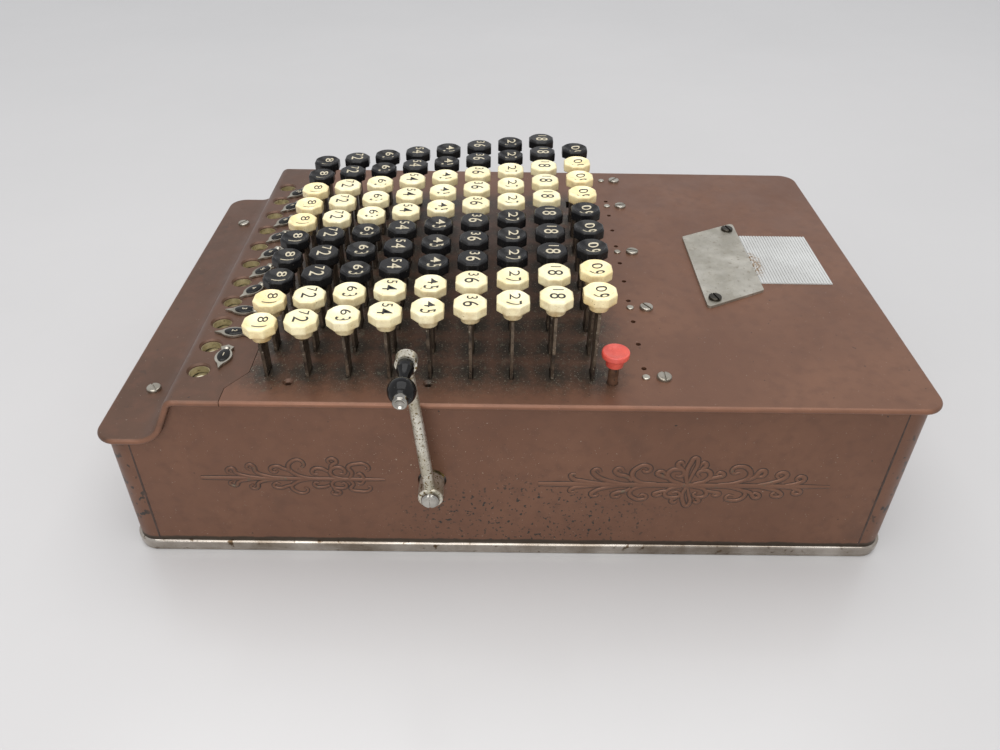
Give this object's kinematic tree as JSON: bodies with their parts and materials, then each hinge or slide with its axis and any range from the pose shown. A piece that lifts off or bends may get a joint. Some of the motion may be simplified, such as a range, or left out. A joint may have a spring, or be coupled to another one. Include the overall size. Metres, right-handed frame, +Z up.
{
  "type": "mechanical adding machine",
  "caption": "Desktop key-driven adding machine: metal case with a stepped front, a bank of numbered keys on flat stems, number windows with pointers and a side zeroing crank.",
  "frame": {"origin": "on the table under the middle of the case", "axes": "+X to the operator's right (crank side), +Y to the back, +Z up"},
  "size_m": [0.2742, 0.368, 0.1392],
  "materials": {
    "coppered_case": "oxidised copper over sheet steel, satin and worn",
    "nickel": "tarnished nickel plate",
    "steel": "bright steel, oiled",
    "brass": "turned",
    "key_ivory": "moulded, yellowed; half the columns are black",
    "key_red": "moulded coral red",
    "black_grip": "turned and polished",
    "wheel_dark": "dark enamel with pale numerals",
    "pad_white": "ribbed, stained"
  },
  "bodies": {
    "case": {"base_plate": "steel", "base_moulding": "nickel", "front_panel": "coppered_case", "back_panel": "coppered_case", "right_side_panel": "coppered_case", "left_side_panel": "coppered_case", "register_cover": "coppered_case", "keyboard_cover": "coppered_case", "case_screws": "nickel", "deck_rivets": "nickel", "name_plate": "nickel", "ribbed_pad": "pad_white", "crank_bush": "brass", "frame_plate_right": "steel", "frame_plate_left": "steel", "frame_tie_rods": "steel", "lever_shaft": "steel", "key_guide_plate": "steel", "key_springs": "steel", "pointer_pivots": "steel"},
    "crank": {"crank_shaft": "steel", "crank_arm": "nickel", "crank_screw": "nickel", "crank_grip": "black_grip", "grip_pin": "nickel"},
    "zero_link": {"zeroing_link": "steel"},
    "register": {"wheel_shaft": "steel", "numeral_wheels": "wheel_dark", "wheel_zeroing_arm": "steel"},
    "levers": {"column_levers": "steel"},
    "release_key": {"release_key_cap": "key_red", "release_key_stem": "steel"},
    "units_key_1": {"units_key_1": "key_ivory"},
    "units_key_2": {"units_key_2": "key_ivory"},
    "units_key_3": {"units_key_3": "key_ivory"},
    "units_key_4": {"units_key_4": "key_ivory"},
    "units_key_5": {"units_key_5": "key_ivory"},
    "units_key_6": {"units_key_6": "key_ivory"},
    "units_key_7": {"units_key_7": "key_ivory"},
    "units_key_8": {"units_key_8": "key_ivory"},
    "units_key_9": {"units_key_9": "key_ivory"},
    "key_row_1": {"key_row_1": "key_ivory"},
    "key_row_2": {"key_row_2": "key_ivory"},
    "key_row_3": {"key_row_3": "key_ivory"},
    "key_row_4": {"key_row_4": "key_ivory"},
    "key_row_5": {"key_row_5": "key_ivory"},
    "key_row_6": {"key_row_6": "key_ivory"},
    "key_row_7": {"key_row_7": "key_ivory"},
    "key_row_8": {"key_row_8": "key_ivory"},
    "key_row_9": {"key_row_9": "key_ivory"},
    "decimal_pointer_1": {"decimal_pointer_1": "nickel"},
    "decimal_pointer_2": {"decimal_pointer_2": "nickel"},
    "decimal_pointer_3": {"decimal_pointer_3": "nickel"},
    "decimal_pointer_4": {"decimal_pointer_4": "nickel"},
    "decimal_pointer_5": {"decimal_pointer_5": "nickel"},
    "decimal_pointer_6": {"decimal_pointer_6": "nickel"},
    "decimal_pointer_7": {"decimal_pointer_7": "nickel"},
    "decimal_pointer_8": {"decimal_pointer_8": "nickel"},
    "decimal_pointer_9": {"decimal_pointer_9": "nickel"},
    "decimal_pointer_10": {"decimal_pointer_10": "nickel"}
  },
  "joints": [
    {"name": "crank_pull", "type": "hinge", "parent": "case", "child": "crank", "pos_m": [0.1125, -0.0365, 0.048], "axis": [1, 0, 0], "range_deg": [0, 72], "stiffness_Nm_per_rad": 0.25, "springref_deg": -28.65},
    {"name": "link_swing", "type": "hinge", "parent": "crank", "child": "zero_link", "pos_m": [0.108, -0.0425, 0.03761], "axis": [1, 0, 0], "range_deg": [-72, 0]},
    {"name": "register_turn", "type": "hinge", "parent": "case", "child": "register", "pos_m": [0, -0.1386, 0.0797], "axis": [1, 0, 0], "range_deg": [0, 72]},
    {"name": "levers_swing", "type": "hinge", "parent": "case", "child": "levers", "pos_m": [0.0985, 0.11, 0.044], "axis": [1, 0, 0], "range_deg": [0, 7.38], "stiffness_Nm_per_rad": 12, "springref_deg": -6.88},
    {"name": "release_press", "type": "slide", "parent": "case", "child": "release_key", "axis": [0, 0, -1], "range_m": [0, 0.005], "stiffness_N_per_m": 150, "springref_m": -0.006},
    {"name": "units_press_1", "type": "slide", "parent": "case", "child": "units_key_1", "axis": [0, 0, -1], "range_m": [0, 0.00312], "stiffness_N_per_m": 120, "springref_m": -0.006},
    {"name": "units_press_2", "type": "slide", "parent": "case", "child": "units_key_2", "axis": [0, 0, -1], "range_m": [0, 0.00573], "stiffness_N_per_m": 120, "springref_m": -0.006},
    {"name": "units_press_3", "type": "slide", "parent": "case", "child": "units_key_3", "axis": [0, 0, -1], "range_m": [0, 0.00783], "stiffness_N_per_m": 120, "springref_m": -0.006},
    {"name": "units_press_4", "type": "slide", "parent": "case", "child": "units_key_4", "axis": [0, 0, -1], "range_m": [0, 0.00942], "stiffness_N_per_m": 120, "springref_m": -0.006},
    {"name": "units_press_5", "type": "slide", "parent": "case", "child": "units_key_5", "axis": [0, 0, -1], "range_m": [0, 0.0105], "stiffness_N_per_m": 120, "springref_m": -0.006},
    {"name": "units_press_6", "type": "slide", "parent": "case", "child": "units_key_6", "axis": [0, 0, -1], "range_m": [0, 0.01108], "stiffness_N_per_m": 120, "springref_m": -0.006},
    {"name": "units_press_7", "type": "slide", "parent": "case", "child": "units_key_7", "axis": [0, 0, -1], "range_m": [0, 0.01114], "stiffness_N_per_m": 120, "springref_m": -0.006},
    {"name": "units_press_8", "type": "slide", "parent": "case", "child": "units_key_8", "axis": [0, 0, -1], "range_m": [0, 0.01069], "stiffness_N_per_m": 120, "springref_m": -0.006},
    {"name": "units_press_9", "type": "slide", "parent": "case", "child": "units_key_9", "axis": [0, 0, -1], "range_m": [0, 0.00974], "stiffness_N_per_m": 120, "springref_m": -0.006},
    {"name": "row_press_1", "type": "slide", "parent": "case", "child": "key_row_1", "axis": [0, 0, -1], "range_m": [0, 0.00312], "stiffness_N_per_m": 600, "springref_m": -0.006},
    {"name": "row_press_2", "type": "slide", "parent": "case", "child": "key_row_2", "axis": [0, 0, -1], "range_m": [0, 0.00573], "stiffness_N_per_m": 600, "springref_m": -0.006},
    {"name": "row_press_3", "type": "slide", "parent": "case", "child": "key_row_3", "axis": [0, 0, -1], "range_m": [0, 0.00783], "stiffness_N_per_m": 600, "springref_m": -0.006},
    {"name": "row_press_4", "type": "slide", "parent": "case", "child": "key_row_4", "axis": [0, 0, -1], "range_m": [0, 0.00942], "stiffness_N_per_m": 600, "springref_m": -0.006},
    {"name": "row_press_5", "type": "slide", "parent": "case", "child": "key_row_5", "axis": [0, 0, -1], "range_m": [0, 0.0105], "stiffness_N_per_m": 600, "springref_m": -0.006},
    {"name": "row_press_6", "type": "slide", "parent": "case", "child": "key_row_6", "axis": [0, 0, -1], "range_m": [0, 0.01108], "stiffness_N_per_m": 600, "springref_m": -0.006},
    {"name": "row_press_7", "type": "slide", "parent": "case", "child": "key_row_7", "axis": [0, 0, -1], "range_m": [0, 0.01114], "stiffness_N_per_m": 600, "springref_m": -0.006},
    {"name": "row_press_8", "type": "slide", "parent": "case", "child": "key_row_8", "axis": [0, 0, -1], "range_m": [0, 0.01069], "stiffness_N_per_m": 600, "springref_m": -0.006},
    {"name": "row_press_9", "type": "slide", "parent": "case", "child": "key_row_9", "axis": [0, 0, -1], "range_m": [0, 0.00974], "stiffness_N_per_m": 600, "springref_m": -0.006},
    {"name": "pointer_turn_1", "type": "hinge", "parent": "case", "child": "decimal_pointer_1", "pos_m": [0.089, -0.13, 0.0963], "axis": [0, 0, 1], "range_deg": [-90, 0]},
    {"name": "pointer_turn_2", "type": "hinge", "parent": "case", "child": "decimal_pointer_2", "pos_m": [0.07, -0.13, 0.0963], "axis": [0, 0, 1], "range_deg": [0, 90]},
    {"name": "pointer_turn_3", "type": "hinge", "parent": "case", "child": "decimal_pointer_3", "pos_m": [0.051, -0.13, 0.0963], "axis": [0, 0, 1], "range_deg": [0, 90]},
    {"name": "pointer_turn_4", "type": "hinge", "parent": "case", "child": "decimal_pointer_4", "pos_m": [0.032, -0.13, 0.0963], "axis": [0, 0, 1], "range_deg": [-55, 35]},
    {"name": "pointer_turn_5", "type": "hinge", "parent": "case", "child": "decimal_pointer_5", "pos_m": [0.013, -0.13, 0.0963], "axis": [0, 0, 1], "range_deg": [-55, 35]},
    {"name": "pointer_turn_6", "type": "hinge", "parent": "case", "child": "decimal_pointer_6", "pos_m": [-0.006, -0.13, 0.0963], "axis": [0, 0, 1], "range_deg": [-55, 35]},
    {"name": "pointer_turn_7", "type": "hinge", "parent": "case", "child": "decimal_pointer_7", "pos_m": [-0.025, -0.13, 0.0963], "axis": [0, 0, 1], "range_deg": [-55, 35]},
    {"name": "pointer_turn_8", "type": "hinge", "parent": "case", "child": "decimal_pointer_8", "pos_m": [-0.044, -0.13, 0.0963], "axis": [0, 0, 1], "range_deg": [-55, 35]},
    {"name": "pointer_turn_9", "type": "hinge", "parent": "case", "child": "decimal_pointer_9", "pos_m": [-0.063, -0.13, 0.0963], "axis": [0, 0, 1], "range_deg": [-55, 35]},
    {"name": "pointer_turn_10", "type": "hinge", "parent": "case", "child": "decimal_pointer_10", "pos_m": [-0.082, -0.13, 0.0963], "axis": [0, 0, 1], "range_deg": [-55, 35]}
  ],
  "couplings": [
    {"joint": "link_swing", "follows": "crank_pull", "ratio": -1},
    {"joint": "register_turn", "follows": "crank_pull", "ratio": 1}
  ]
}
